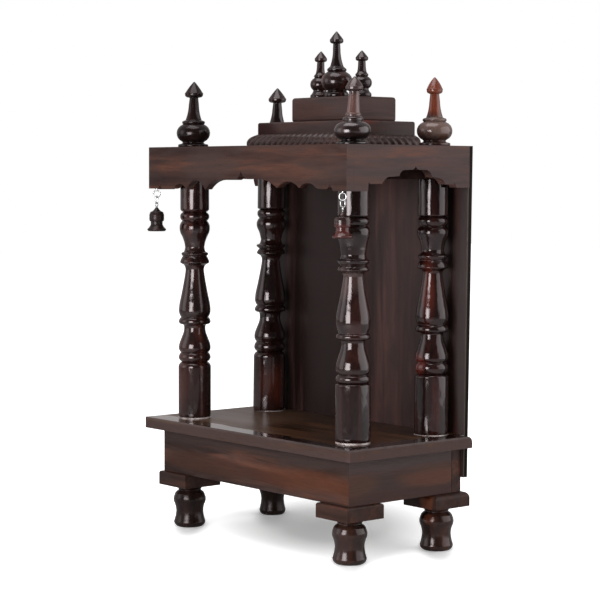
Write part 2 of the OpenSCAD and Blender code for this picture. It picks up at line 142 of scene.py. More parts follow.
def spread(tree, value, given, wanted, kind="LINEAR"):
    # given: two values; wanted: what they become
    names = ("Value", "From Min", "From Max", "To Min", "To Max")
    links = dict(zip(names, (value, *given, *wanted)))
    return addNode(tree, "ShaderNodeMapRange", links, interpolation_type=kind).outputs[0]


def ramp(tree, value, stops):
    node = addNode(tree, "ShaderNodeValToRGB", {0: value})
    while len(node.color_ramp.elements) < len(stops):
        node.color_ramp.elements.new(0.5)
    for element, (place, colour) in zip(node.color_ramp.elements, stops):
        element.position = place
        element.color = four(colour)
    return node.outputs[0]


def greyRamp(tree, value, stops):
    return ramp(tree, value, [(place, grey(x)) for place, x in stops])


def blendColour(tree, amount, a, b, way="MIX"):
    node = addNode(tree, "ShaderNodeMix", data_type="RGBA", blend_type=way)
    for slot, value in ((0, amount), (6, a), (7, b)):
        if isinstance(value, bpy.types.NodeSocket):
            tree.links.new(value, node.inputs[slot])
        else:
            node.inputs[slot].default_value = value if slot == 0 else four(value)
    return node.outputs[2]


def bumps(tree, height, strength, distance, under=None):
    links = {"Height": height, "Strength": strength, "Distance": distance}
    if under:
        links["Normal"] = under
    return addNode(tree, "ShaderNodeBump", links).outputs[0]


def objectPlace(tree):
    return addNode(tree, "ShaderNodeTexCoord").outputs["Object"]


def awayFrom(tree, coords, place, size, turn=0):
    # How far from a place, as a share of the size each way
    spot = addNode(tree, "ShaderNodeMapping", {"Vector": coords, "Location": place, "Scale": size,
                                               "Rotation": (0, 0, math.radians(turn))}, vector_type="TEXTURE")
    return addNode(tree, "ShaderNodeVectorMath", {0: spot.outputs[0]}, operation="LENGTH").outputs["Value"]


def stretchedNoise(tree, coords, along, fine, coarse, seed, detail=4, distortion=0.0):
    # Noise drawn out along the grain: fine across it, coarse along it, in cycles per metre
    scale = [fine, fine, fine]
    scale["xyz".index(along)] = coarse
    spot = random.Random(seed)
    shift = [spot.uniform(-40, 40) for _ in range(3)]
    drawn = addNode(tree, "ShaderNodeMapping", {"Vector": coords, "Location": shift, "Scale": scale})
    return addNode(tree, "ShaderNodeTexNoise", {"Vector": drawn.outputs[0], "Scale": 1.0, "Detail": detail,
                                                "Roughness": 0.55, "Distortion": distortion}).outputs[0]


def turningAxis(node):
    lo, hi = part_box(node)
    return Vector(((lo.x + hi.x) / 2, (lo.y + hi.y) / 2, 0))


def backdrop(tree, strength, colour=(1, 1, 1)):
    return addNode(tree, "ShaderNodeBackground", {"Color": four(colour), "Strength": strength}).outputs[0]


def mixShader(tree, share, a, b):
    return addNode(tree, "ShaderNodeMixShader", {0: share, 1: a, 2: b}).outputs[0]


def makeRoom(v):
    world = bpy.data.worlds.new("room")
    scene.world = world
    tree = newTree(world)
    rays = addNode(tree, "ShaderNodeLightPath").outputs
    way = addNode(tree, "ShaderNodeTexCoord").outputs["Generated"]
    toward = addNode(tree, "ShaderNodeVectorMath", {0: way, 1: Vector(v["darkSide"]).normalized()},
                     operation="DOT_PRODUCT").outputs["Value"]
    shade = spread(tree, toward, v["darkRun"], (v["roomPale"], v["roomDark"]), "SMOOTHSTEP")
    fill, mirrored = backdrop(tree, v["roomFill"]), backdrop(tree, shade, v["roomTint"])
    room = mixShader(tree, rays["Is Glossy Ray"], fill, mirrored)
    seen = maths(tree, "MAXIMUM", rays["Is Camera Ray"], rays["Is Transmission Ray"])
    addNode(tree, "ShaderNodeOutputWorld", {"Surface": mixShader(tree, seen, room, backdrop(tree, 1.0))})


def makeFloor(v):
    bm = bmesh.new()
    bmesh.ops.create_grid(bm, x_segments=1, y_segments=1, size=v["floorSize"])
    mesh = bpy.data.meshes.new("studioFloor")
    bm.to_mesh(mesh)
    bm.free()
    floor = bpy.data.objects.new("studioFloor", mesh)
    scene.collection.objects.link(floor)
    paper = bpy.data.materials.new("paleFloor")
    tree = newTree(paper)
    coords = objectPlace(tree)
    seen = addNode(tree, "ShaderNodeLightPath").outputs["Is Camera Ray"]
    tone = blendColour(tree, seen, grey(v["floorBounce"]), grey(v["floorWhite"]))
    own = addNode(tree, "ShaderNodeBsdfDiffuse", {"Color": tone}).outputs[0]
    away = awayFrom(tree, coords, v["shadeCentre"], v["shadeReach"], v["shadeTurn"])
    share = greyRamp(tree, away, v["floorGlow"])
    for node in ("foot_front_left", "foot_front_right", "foot_back_left", "foot_back_right"):
        middle = turningAxis(node) + Vector(v["footShadeShift"])
        away = awayFrom(tree, coords, middle, v["footShade"], v["shadeTurn"])
        keep = spread(tree, away, v["footShadeRun"], v["footShadeGlow"], "SMOOTHSTEP")
        share = maths(tree, "MULTIPLY", share, keep)
    strength = maths(tree, "MULTIPLY", seen, share)
    glow = addNode(tree, "ShaderNodeEmission", {"Color": (1, 1, 1, 1), "Strength": strength}).outputs[0]
    both = addNode(tree, "ShaderNodeAddShader", {0: own, 1: glow}).outputs[0]
    addNode(tree, "ShaderNodeOutputMaterial", {"Surface": both})
    mesh.materials.append(paper)


def makeLamps(table):
    for name, (place, aim, width, height, bright) in table.items():
        data = bpy.data.lights.new(name, "AREA")
        data.shape = "RECTANGLE"
        data.size = width
        data.size_y = height
        data.energy = bright * width * height * math.pi
        lamp = bpy.data.objects.new(name, data)
        lamp.visible_camera = False
        scene.collection.objects.link(lamp)
        turn = (Vector(aim) - Vector(place)).to_track_quat("-Z", "Y").to_matrix().to_4x4()
        lamp.matrix_world = Matrix.Translation(Vector(place)) @ turn


makeRoom(studio)
makeFloor(studio)
makeLamps(lamps)
print("studio ready")

# Linear colours of the stained and lacquered wood. warmAt: where the warm tone is full (higher is rarer)
woodLooks = {
    "board": dict(
        dark=(0.034, 0.015, 0.012), middle=(0.060, 0.027, 0.021), warm=(0.115, 0.045, 0.028),
        cool=(0.056, 0.034, 0.030), warmAt=0.66, veil=0.35, rough=0.42, gloss=0.16, glossTint=(1, 0.9, 0.9),
        coat=0.0, coatRough=0.30, bump=0.25, wave=0.10),
    "turned": dict(
        dark=(0.0065, 0.0028, 0.0025), middle=(0.0145, 0.0058, 0.0049), warm=(0.034, 0.0108, 0.0082),
        cool=(0.014, 0.0078, 0.0072), warmAt=0.68, veil=0.15, rough=0.07, gloss=0.65, glossTint=(1, 0.9, 0.92),
        coat=0.0, coatRough=0.07, bump=0.30, wave=0.30),
    "panel": dict(
        dark=(0.028, 0.0130, 0.0115), middle=(0.043, 0.0200, 0.0178), warm=(0.060, 0.0260, 0.0212),
        cool=(0.022, 0.013, 0.0115), warmAt=0.70, veil=0.3, rough=0.31, gloss=0.34, glossTint=(1, 0.80, 0.79),
        coat=0.0, coatRough=0.30, bump=0.2, wave=0.05),
}
grain = {
    # cycles per metre across and along, detail, distortion
    "figure": (75, 5.5, 5, 0.5),
    "bands": (20, 2.2, 3, 0.3),
    "pores": (1300, 45, 2, 0.0),
    "wave": (60, 26, 2, 0.0),
    "clouds": (34, 9, 3, 0.6),
}
woodLayers = {
    # where each starts and ends in its pattern, and how strong it is there
    "darkAt": 0.36, "middleAt": 0.50,
    "cool": [(0.44, 0.0), (0.60, 0.75)],
    "bands": [(0.38, 0.70), (0.62, 1.16)],
    "pores": [(0.36, 0.45), (0.50, 1.0)],
    "roughFrom": (0.3, 0.7), "roughTo": (0.85, 1.2),
    "poreDepth": 0.00025, "waveDepth": 0.0022, "lacquerDepth": 0.0016,
    "ragged": 1.1, "patchEdge": (0.55, 1.15),
    "wetNoise": (14, 9, 2), "wetEdge": 0.0015, "wetTop": 0.001,
}


def patch(tree, coords, tone, figure, at, size, colour, amount):
    # A ragged spot of another colour round a place on the piece
    ragged = woodLayers["ragged"]
    torn = maths(tree, "MULTIPLY_ADD", figure, ragged, -ragged / 2)
    edge = maths(tree, "ADD", awayFrom(tree, coords, at, size), torn)
    share = spread(tree, edge, woodLayers["patchEdge"], (amount, 0.0), "SMOOTHSTEP")
    return blendColour(tree, share, tone, colour)


def placed(patches, start):
    return [dict(spot, at=start + Vector(spot["at"])) for spot in patches]


def wetBand(tree, coords, tone, seed, front, right, above, width, drift, colour, amount):
    # Lacquer that stands thick on the top along the front and the right edge, with a wandering inner border
    place = addNode(tree, "ShaderNodeSeparateXYZ", {0: coords}).outputs
    fine, coarse, detail = woodLayers["wetNoise"]
    edge = woodLayers["wetEdge"]
    fromFront = maths(tree, "SUBTRACT", place["Y"], front)
    fromRight = maths(tree, "SUBTRACT", right, place["X"])
    inward = maths(tree, "MINIMUM", fromFront, fromRight)
    wander = stretchedNoise(tree, coords, "x", fine, coarse, seed, detail)
    border = maths(tree, "MULTIPLY_ADD", wander, -drift, drift / 2 + width)
    share = spread(tree, maths(tree, "SUBTRACT", border, inward), (-edge, edge), (0, 1))
    onTop = spread(tree, place["Z"], (above - woodLayers["wetTop"], above), (0, 1))
    coat = maths(tree, "MULTIPLY", share, onTop)
    return coat, blendColour(tree, maths(tree, "MULTIPLY", coat, amount), tone, colour)


def camel(node):
    first, *rest = node.split("_")
    return first + "".join(w.capitalize() for w in rest)


def woodFinish(node, look, along, seed, change=None, patches=()):
    v = dict(woodLooks[look])
    v.update(change or {})
    layers = woodLayers
    material = bpy.data.materials.new(camel(node) + "Finish")
    tree = newTree(material)
    coords = objectPlace(tree)
    figure, bands, pores, wave, clouds = [
        stretchedNoise(tree, coords, along, fine, coarse, seed + i, detail, distortion)
        for i, (fine, coarse, detail, distortion) in enumerate(grain.values())]
    tone = ramp(tree, figure, [(layers["darkAt"], v["dark"]), (layers["middleAt"], v["middle"]),
                               (v["warmAt"], v["warm"])])
    tone = blendColour(tree, greyRamp(tree, clouds, layers["cool"]), tone, v["cool"])
    tone = blendColour(tree, 1.0, tone, greyRamp(tree, bands, layers["bands"]), "MULTIPLY")
    coat = v["coat"]
    if "wet" in v:
        coat, tone = wetBand(tree, coords, tone, seed + len(grain), **v["wet"])
    for spot in patches:
        tone = patch(tree, coords, tone, figure, **spot)
    tone = blendColour(tree, v["veil"], tone, greyRamp(tree, pores, layers["pores"]), "MULTIPLY")
    rough = spread(tree, bands, layers["roughFrom"], [v["rough"] * x for x in layers["roughTo"]])
    poreDents = bumps(tree, pores, v["bump"], layers["poreDepth"])
    shader = addNode(tree, "ShaderNodeBsdfPrincipled", {
        "Base Color": tone, "Roughness": rough, "Specular IOR Level": v["gloss"],
        "Specular Tint": four(v["glossTint"]), "Coat Weight": coat, "Coat Roughness": v["coatRough"],
        "Normal": bumps(tree, wave, v["wave"], layers["waveDepth"], poreDents),
        "Coat Normal": bumps(tree, wave, v["wave"], layers["lacquerDepth"])})
    addNode(tree, "ShaderNodeOutputMaterial", {"Surface": shader.outputs[0]})
    return material


brightWire = {"colour": (0.72, 0.72, 0.73), "dark": 0.8, "rough": (0.14, 0.28), "marks": 900, "dents": 0.08,
              "dentDepth": 0.0002}


def metalFinish(name, v, seed):
    material = bpy.data.materials.new(name)
    tree = newTree(material)
    marks = stretchedNoise(tree, objectPlace(tree), "z", v["marks"], v["marks"], seed, 3)
    shader = addNode(tree, "ShaderNodeBsdfPrincipled", {
        "Base Color": ramp(tree, marks, [(0.35, [c * v["dark"] for c in v["colour"]]), (0.65, v["colour"])]),
        "Metallic": 1.0, "Roughness": spread(tree, marks, (0.3, 0.7), v["rough"]),
        "Normal": bumps(tree, marks, v["dents"], v["dentDepth"])})
    addNode(tree, "ShaderNodeOutputMaterial", {"Surface": shader.outputs[0]})
    return material


arcSteps = 8


def bowed(a, b, rise):
    # Points of an arc from a to b, which bows out by rise
    dx, dy = b[0] - a[0], b[1] - a[1]
    if rise == 0:
        return [(b[0], b[1])]
    span = math.hypot(dx, dy)
    half = 2 * math.atan(2 * abs(rise) / span)
    radius = span / 2 / math.sin(half)
    points = []
    for i in range(1, arcSteps + 1):
        turn = half * (2 * i / arcSteps - 1)
        out = math.copysign(radius * (math.cos(turn) - math.cos(half)), rise)
        far = (1 + math.sin(turn) / math.sin(half)) / 2
        points.append((a[0] + dx * far - dy / span * out, a[1] + dy * far + dx / span * out))
    return points


def outline(rows):
    points = [(rows[0][0], rows[0][1])]
    for start, end in zip(rows, rows[1:]):
        points += bowed(start, end, end[2])
    return points


sharpFrom = 50      # degrees between two faces from which their edge is drawn sharp
facing = 0.75       # how squarely a face has to look a way to take the finish for it


def addPiece(node, bm, finish, body="shrine", stands=True, ends=()):
    # stands: whether it stands for the CAD node of that name;
    # ends: a direction and the finish of the faces that look that way, for a board that runs on round a corner
    bmesh.ops.remove_doubles(bm, verts=bm.verts[:], dist=weld)
    bmesh.ops.recalc_face_normals(bm, faces=bm.faces[:])
    bm.normal_update()
    for number, (way, _) in enumerate(ends, 1):
        for face in bm.faces:
            if face.normal.dot(Vector(way)) > facing:
                face.material_index = number
    name = camel(node)
    mesh = bpy.data.meshes.new(name)
    bm.to_mesh(mesh)
    bm.free()
    mesh.shade_smooth()
    mesh.set_sharp_from_angle(angle=math.radians(sharpFrom))
    for material in [finish] + [other for _, other in ends]:
        mesh.materials.append(material)
    piece = bpy.data.objects.new(name, mesh)
    scene.collection.objects.link(piece)
    flat = piece.modifiers.new("evenShading", "WEIGHTED_NORMAL")
    flat.keep_sharp = True
    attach(piece, body)
    if stands:
        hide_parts(node)


def only(kind, geom):
    return [g for g in geom if isinstance(g, kind)]


def roundEdges(bm, edges, width, segments=3):
    if edges:
        bmesh.ops.bevel(bm, geom=edges, offset=width, offset_type="OFFSET", affect="EDGES",
                        segments=segments, profile=0.5, material=-1, clamp_overlap=True)


def sharpEdges(bm, angle):
    return [e for e in bm.edges if len(e.link_faces) == 2 and e.calc_face_angle(0) > math.radians(angle)]


def blockShape(lo, hi):
    bm = bmesh.new()
    bmesh.ops.create_cube(bm, size=1)
    bmesh.ops.scale(bm, vec=hi - lo, verts=bm.verts[:])
    bmesh.ops.translate(bm, vec=(lo + hi) / 2, verts=bm.verts[:])
    return bm


def boardShape(lo, hi, edge, segments=3, joint=None):
    # joint: the depth at which the edges stay as sharp as the saw left them
    bm = blockShape(lo, hi)
    rounded = [e for e in bm.edges if joint is None or any(abs(p.co.y - joint) > mm for p in e.verts)]
    roundEdges(bm, rounded, edge, segments)
    return bm


def spinLine(bm, points, axis, steps, closed=False):
    # points: height and radius in metres
    verts = [bm.verts.new((axis.x + r, axis.y, z)) for z, r in points]
    ends = verts[1:] + (verts[:1] if closed else [])
    edges = [bm.edges.new(pair) for pair in zip(verts, ends)]
    bmesh.ops.spin(bm, geom=verts + edges, cent=axis, axis=up, angle=math.tau, steps=steps,
                   use_merge=True, use_duplicate=False)


turned = {
    "steps": 80,
    "edge": 0.0005,
    "leanWay": (0.64, 0.77, 0),
    "finialRough": 0.15,
}


def turnedShape(node, rows, steps, edge, inner=None, lean=(0, 0), short=0):
    # inner: the outline of a hollow; lean: how far the bottom and the top stand off the axis, toward leanWay;
    # short: how far the turning stops below the top of its room
    lo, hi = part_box(node)
    points = outline(rows)
    tall = (hi.z - lo.z - short * mm) / rows[-1][0]
    wide = (hi.x - lo.x) / 2 / max(p[1] for p in points)
    path = [(lo.z + z * tall, r * wide) for z, r in points]
    start = inner or [(path[0][0], 0)]
    bm = bmesh.new()
    spinLine(bm, start + path + [(path[-1][0], 0)], turningAxis(node), steps)
    bmesh.ops.remove_doubles(bm, verts=bm.verts[:], dist=weld)
    bmesh.ops.recalc_face_normals(bm, faces=bm.faces[:])
    roundEdges(bm, sharpEdges(bm, 30), edge, segments=2)
    for p in bm.verts:
        off = lean[0] + (lean[1] - lean[0]) * (p.co.z - lo.z) / (hi.z - lo.z)
        p.co += Vector(turned["leanWay"]) * off * mm
    return bm


# Height, radius and bow of each step of a turning, in mm
turning = {
    "foot": [
        [0, 18.8, 0], [7.5, 23.6, 1.4], [23.5, 20.4, -0.6], [34.7, 22.6, -0.5], [48, 22.8, 1.6],
        [54.5, 17.5, 1], [56, 16.7, 0], [63, 24.7, -1.2]],
    "corner": [
        [0, 22.1, 0], [4.4, 22.1, 0.6], [5.4, 18, 0], [7.6, 16, -0.5], [8.8, 17.4, 0], [33.6, 16.6, 8.2],
        [34.4, 15.8, 0], [38.8, 15.8, 1.5], [40, 12.2, 0], [61.7, 7.7, -0.9], [72.8, 6.5, 0],
        [73.6, 10, 0], [78.2, 13.6, 1.2], [80.4, 13, 0.5], [96.5, 0.8, 0.5]],
    "redCorner": [
        [0, 22.1, 0], [4.4, 22.1, 0.6], [5.4, 18, 0], [7.6, 16, -0.5], [8.8, 17.4, 0], [33.6, 16.6, 8.6],
        [34.4, 15.8, 0], [38.8, 15.8, 1.5], [40, 12.2, 0], [61.7, 7.7, -0.9], [72.8, 6.5, 0],
        [73.8, 8.4, 0], [78.4, 11.4, 1.2], [80.8, 11.1, 0.5], [96.5, 0.8, 0.9]],
    "nearCorner": [
        [0, 21, 0], [3.6, 21, 0.5], [4.4, 17, 0], [6.4, 15, -0.4], [7.6, 17.5, 0], [31, 13.5, 9.7],
        [32, 13.4, 0], [37, 12.8, 1], [38.4, 10.4, 0], [42, 10.2, 0.5], [43, 9, 0], [72.2, 6.9, -0.3],
        [73, 8.6, 0], [77, 11.7, 1.2], [79, 11.4, 0.4], [92.3, 0.8, 0.9]],
    "centre": [
        [0, 16.6, 0], [6.8, 16.6, 0.8], [9.4, 14, 0], [10, 14.4, 0], [36.6, 14.8, 8.6], [38, 13, 0],
        [42.4, 13, 1.4], [45, 10, 0], [71, 5.6, -1.2], [78, 5.2, 0], [78.8, 7.6, 0], [83, 9.9, 1],
        [84.6, 9.6, 0.3], [96, 0.7, 0.2]],
    "small": [
        [0, 13.6, 0], [5.2, 13.6, 0.7], [11, 10, -0.6], [12, 10.2, 0], [28.6, 9.8, 4.8], [29.8, 8.4, 0],
        [33.6, 8.4, 1.2], [36, 6.9, 0], [46, 5.7, -0.3], [51.6, 5.4, 0], [52.2, 7, 0], [55.8, 9.1, 0.9],
        [57.4, 8.8, 0.3], [67, 0.6, 0.3]],
    "bell": [
        [0, 11.6, 0], [3.4, 14, 0.9], [10.2, 8.9, -0.6], [14.8, 9, 0], [15.6, 10.6, 0.2], [21.5, 11, 0.3],
        [27, 10.2, 0.5], [29.2, 8.6, 0.4], [33.4, 3.2, -0.6], [36, 1.4, 0]],
}
# Each pillar was turned by hand, so each has its own sizes in mm. marks: the heights of its rings;
# base, collar, neck: radii; bead: how far the dried lacquer round its foot reaches out and up
pillarTurning = {
    "pillar_front_left": dict(
        marks=[76.5, 84.5, 91, 98.5, 106, 135, 145, 151.5, 162.5, 221.5, 235, 243.5, 247.5, 257.5, 286, 296.5,
               303, 309.5, 314], base=23.2, bead=(2.2, 2.0), collar=20.3, neck=14.4, lean=(0, 0)),
    "pillar_front_right": dict(
        marks=[79, 82, 87.5, 94, 102, 137, 145.5, 150.5, 168, 225.5, 237.5, 243, 248.5, 257.5, 288, 296.5,
               302.5, 308.5, 310.5], base=21.2, bead=(3.0, 3.4), collar=22.3, neck=17, lean=(0, 0)),
    "pillar_back_left": dict(
        marks=[84, 91.5, 98.5, 107, 115.5, 144.5, 157, 163.5, 173.5, 232.5, 245.5, 251.5, 256.5, 266, 289.5,
               299, 306.5, 312.5, 315],
        base=23.4, bead=(1.5, 1.1), collar=22.7, neck=15.8, lean=(-2.15, 2.15)),
    "pillar_back_right": dict(
        marks=[81.5, 85, 94, 102.5, 108.5, 141.5, 148.5, 155.5, 166.5, 226.5, 237, 246, 252, 261, 285.5, 293.5,
               301.5, 307.5, 309.5], base=23.4, bead=(1.4, 0.9), collar=21.1, neck=15.6, lean=(0, 1.3)),
}


def pillarRows(marks, base, collar, neck):
    m = marks
    vase, bottle, bowl = m[5] - m[4], m[9] - m[8], m[14] - m[13]
    return [
        [0, base, 0], [8, 24.4, (24.4 - base) * 0.3], [m[0], 24.4, 0], [m[1], 18.9, 1.5], [m[2], 24, 1.3],
        [m[3], 20.5, 0.9], [m[4], 23.9, 1], [m[4] + vase * 0.3, 22.2, 0.4], [m[4] + vase * 0.7, 17.7, 0],
        [m[5], 16, -0.4], [m[6] - 5, 16.9, -0.3], [m[6] - 3.7, 19, 0], [m[6], 23.9, 1.5], [m[7], 20.4, 0.9],
        [m[8], 23.8, 1], [m[8] + bottle * 0.25, 21.9, 0.4], [m[8] + bottle * 0.885, 14.8, -0.3],
        [m[9], 13.9, 0], [m[10] - 4.5, 16.6, -1], [m[10] - 2, 21.2, 0], [m[10], 21.9, 0.2],
        [m[11], 17.9, 0.5], [m[12], collar, 0.6], [m[12] + 2.2, neck + 2.3, 0.5], [m[13], neck, -0.5],
        [m[13] + bowl * 0.2, neck + 1, 0], [m[13] + bowl * 0.7, 21.1, -0.5], [m[14], 22.7, 0.35],
        [m[15], 18.5, 1.2], [m[16], 21.9, 0.9], [m[17], 17.2, 1.3], [m[18], 21.66, 0.8], [360, 21.66, 0]]


turnedNodes = {
    # node: kind of turning, seed
    "foot_front_left": ("foot", 11), "foot_front_right": ("foot", 12),
    "foot_back_left": ("foot", 13), "foot_back_right": ("foot", 14),
    "pillar_front_left": ("pillar", 21), "pillar_front_right": ("pillar", 22),
    "pillar_back_left": ("pillar", 23), "pillar_back_right": ("pillar", 24),
    "finial_front_left": ("corner", 31), "finial_front_right": ("nearCorner", 32),
    "finial_back_left": ("corner", 33), "finial_back_right": ("redCorner", 34),
    "finial_centre": ("centre", 35),
    "finial_small_left": ("small", 36), "finial_small_right": ("small", 37),
}
finialLeans = {
    # node: how far the bottom and the top stand off the axis, and how far it stops short, in mm
    "finial_front_left": (0, 1.6, 0), "finial_front_right": (-0.7, 3.4, 5.7),
    "finial_back_left": (-2.3, -1, 0), "finial_back_right": (-1, -1.2, 0), "finial_centre": (1.4, 0.4, 0),
    "finial_small_left": (0, 1.9, 0), "finial_small_right": (0, 0, 1.2),
}
turnedTones = {
    "foot": dict(
        dark=(0.014, 0.0065, 0.0050), middle=(0.026, 0.0115, 0.0085), warm=(0.055, 0.020, 0.0125),
        cool=(0.024, 0.0125, 0.010), gloss=0.46, rough=0.14),
    "foot_back_left": dict(
        dark=(0.005, 0.0025, 0.0022), middle=(0.010, 0.0050, 0.0042), warm=(0.020, 0.009, 0.007),
        cool=(0.009, 0.005, 0.0045), gloss=0.2, rough=0.25),
    "foot_front_left": dict(
        dark=(0.011, 0.0055, 0.0048), middle=(0.021, 0.0105, 0.0085), warm=(0.040, 0.017, 0.012),
        cool=(0.020, 0.011, 0.0095), gloss=0.30, rough=0.22),
    "pillar_back_right": dict(
        dark=(0.007, 0.003, 0.0026), middle=(0.020, 0.0062, 0.0050), warm=(0.052, 0.012, 0.0090)),
    "pillar_front_left": dict(middle=(0.020, 0.0072, 0.0056), warm=(0.052, 0.015, 0.0105)),
    "finial_back_right": dict(
        dark=(0.014, 0.007, 0.0058), middle=(0.045, 0.020, 0.015), warm=(0.10, 0.038, 0.026)),
    "finial_front_left": dict(
        dark=(0.005, 0.0028, 0.0026), middle=(0.009, 0.0046, 0.0042), warm=(0.018, 0.0075, 0.0062),
        gloss=0.36),
    "finial_front_right": dict(
        dark=(0.007, 0.0038, 0.0036), middle=(0.014, 0.0075, 0.0070), warm=(0.034, 0.0145, 0.012), gloss=0.9),
}
# Spots of other colours on single turnings, some of them painted light, in metres, at from the turning's foot
# and axis
turnedSpotsAndPaintedLight = {
    "foot_back_right": [
        dict(at=(0.0075, -0.0206, 0.046), size=(0.010, 0.010, 0.008), colour=(0.12, 0.036, 0.019),
             amount=0.8)],
    "finial_back_right": [
        dict(at=(0, 0, 0.070), size=(0.05, 0.05, 0.031), colour=(0.20, 0.043, 0.020), amount=0.8),
        # painted highlight: a pale spot on the side of the ball that faces the front right
        dict(at=(0.013, -0.009, 0.026), size=(0.028, 0.028, 0.018), colour=(0.17, 0.112, 0.094), amount=0.75)],
    "finial_front_right": [
        dict(at=(0, 0, 0.054), size=(0.05, 0.05, 0.018), colour=(0.120, 0.060, 0.050), amount=0.85),
        dict(at=(0, 0, 0.082), size=(0.05, 0.05, 0.010), colour=(0.040, 0.019, 0.017), amount=0.9),
        dict(at=(0, 0, 0.006), size=(0.05, 0.05, 0.007), colour=(0.005, 0.003, 0.003), amount=0.9)],
    "finial_centre": [
        dict(at=(-0.012, -0.012, 0.026), size=(0.014, 0.014, 0.012), colour=(0.085, 0.022, 0.015),
             amount=0.85)],
    "pillar_front_left": [
        # partly painted light: the wood's own red, painted lighter on the shaft's left side, where light falls
        dict(at=(-0.012, 0, 0.052), size=(0.03, 0.03, 0.055), colour=(0.095, 0.025, 0.015), amount=0.85)],
    "pillar_front_right": [
        dict(at=(0, 0, 0.222), size=(0.02, 0.03, 0.030), colour=(0.058, 0.034, 0.030), amount=0.8)],
    "pillar_back_left": [
        dict(at=(0.01, 0, 0.042), size=(0.02, 0.03, 0.045), colour=(0.075, 0.017, 0.010), amount=0.8)],
    "pillar_back_right": [
        dict(at=(0.009, -0.015, 0.205), size=(0.011, 0.011, 0.055), colour=(0.085, 0.017, 0.011), amount=0.85),
        dict(at=(-0.004, -0.022, 0.100), size=(0.014, 0.014, 0.018), colour=(0.115, 0.018, 0.012),
             amount=0.85)],
}


def makeTurnings(v):
    for node, (kind, seed) in turnedNodes.items():
        tones = dict(turnedTones.get(node) or turnedTones.get(kind) or {})
        if node.startswith("finial"):
            tones["rough"] = v["finialRough"]
        foot = turningAxis(node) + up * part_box(node)[0].z
        finish = woodFinish(node, "turned", "z", seed, tones, placed(turnedSpotsAndPaintedLight.get(node, []), foot))
        if kind == "pillar":
            own = pillarTurning[node]
            rows = pillarRows(own["marks"], own["base"], own["collar"], own["neck"])
            lean, short = own["lean"], 0
        else:
            rows = turning[kind]
            *lean, short = finialLeans.get(node, (0, 0, 0))
        shape = turnedShape(node, rows, v["steps"], v["edge"], lean=lean, short=short)
        addPiece(node, shape, finish)


lacquer = {"under": 0.0008, "hollow": 0.22}
# pale: partly the dried lacquer's own colour, partly a painted highlight
lacquerAndHighlightTones = dict(dark=(0.10, 0.075, 0.070), middle=(0.40, 0.34, 0.32), warm=(0.60, 0.54, 0.52),
                    cool=(0.30, 0.25, 0.24), rough=0.12)


def makeDriedLacquer(v):
    # Lacquer that ran down and dried round each pillar's foot, hollow like a fillet; its pale colour is partly
    # its own and partly a painted highlight
    finish = woodFinish("dried_lacquer", "turned", "z", 39, lacquerAndHighlightTones)
    for node, own in pillarTurning.items():
        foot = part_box(node)[0].z
        r, out, height = [x * mm for x in (own["base"], *own["bead"])]
        rows = outline([[r - v["under"], foot, 0], [r + out, foot, 0], [r, foot + height, -v["hollow"] * out]])
        bm = bmesh.new()
        spinLine(bm, [(z, x) for x, z in rows], turningAxis(node), turned["steps"], closed=True)
        addPiece(node.replace("pillar", "dried_lacquer"), bm, finish, stands=False)


makeTurnings(turned)
makeDriedLacquer(lacquer)
print("turned pieces ready")

boards = {
    # node: look, grain, seed, edge rounding, tones
    # apron_right is painted lighter, as painted light from the right, and apron_front darker, as painted shade
    "apron_right": ("board", "y", 44, 0.0008, dict(
        dark=(0.046, 0.022, 0.017), middle=(0.074, 0.034, 0.026), gloss=0.24)),
    "apron_left": ("board", "y", 43, 0.0008, None),
    "apron_front": ("board", "x", 41, 0.0008, dict(
        dark=(0.023, 0.010, 0.0075), middle=(0.035, 0.0155, 0.0115))),
    "apron_back": ("board", "x", 42, 0.0008, None),
    # ceiling_board's dark tone is painted shade under the roof
    "ceiling_board": ("panel", "x", 46, 0.0004, dict(
        dark=(0.010, 0.005, 0.0045), middle=(0.014, 0.0068, 0.006), warm=(0.02, 0.009, 0.0075),
        gloss=0.0, rough=0.7)),
    "roof_board": ("panel", "x", 47, 0.0004, None),
}
boardPatches = {
    "apron_right": [
        dict(at=(0.2, 0.065, 0.108), size=(0.05, 0.075, 0.016), colour=(0.098, 0.036, 0.020), amount=0.85),
        dict(at=(0.2, 0.0, 0.090), size=(0.05, 0.40, 0.011), colour=(0.042, 0.018, 0.014), amount=0.85),
        dict(at=(0.2, -0.09, 0.108), size=(0.05, 0.05, 0.018), colour=(0.075, 0.030, 0.018), amount=0.7),
        dict(at=(0.2, 0.0, 0.142), size=(0.05, 0.40, 0.016), colour=(0.068, 0.048, 0.047), amount=0.8)],
    "apron_front": [
        dict(at=(0.12, -0.11, 0.108), size=(0.16, 0.05, 0.018), colour=(0.088, 0.027, 0.012), amount=0.85),
        dict(at=(-0.08, -0.11, 0.105), size=(0.18, 0.05, 0.016), colour=(0.050, 0.0185, 0.011), amount=0.8),
        dict(at=(0.0, -0.11, 0.142), size=(0.40, 0.05, 0.017), colour=(0.037, 0.023, 0.0205), amount=0.85)],
}


def bothEnds(left, right):
    return [((1, 0, 0), right), ((-1, 0, 0), left)]


def makeBoards(table):
    finishes = {}
    for node, (look, along, seed, edge, tones) in table.items():
        lo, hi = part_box(node)
        finishes[node] = woodFinish(node, look, along, seed, tones, boardPatches.get(node, []))
        ends, joint = [], None
        if node == "apron_front":
            ends = bothEnds(finishes["apron_left"], finishes["apron_right"])
            joint = hi.y
        elif node in ("apron_left", "apron_right"):
            joint = lo.y
        addPiece(node, boardShape(lo, hi, edge, joint=joint), finishes[node], ends=ends)


makeBoards(boards)

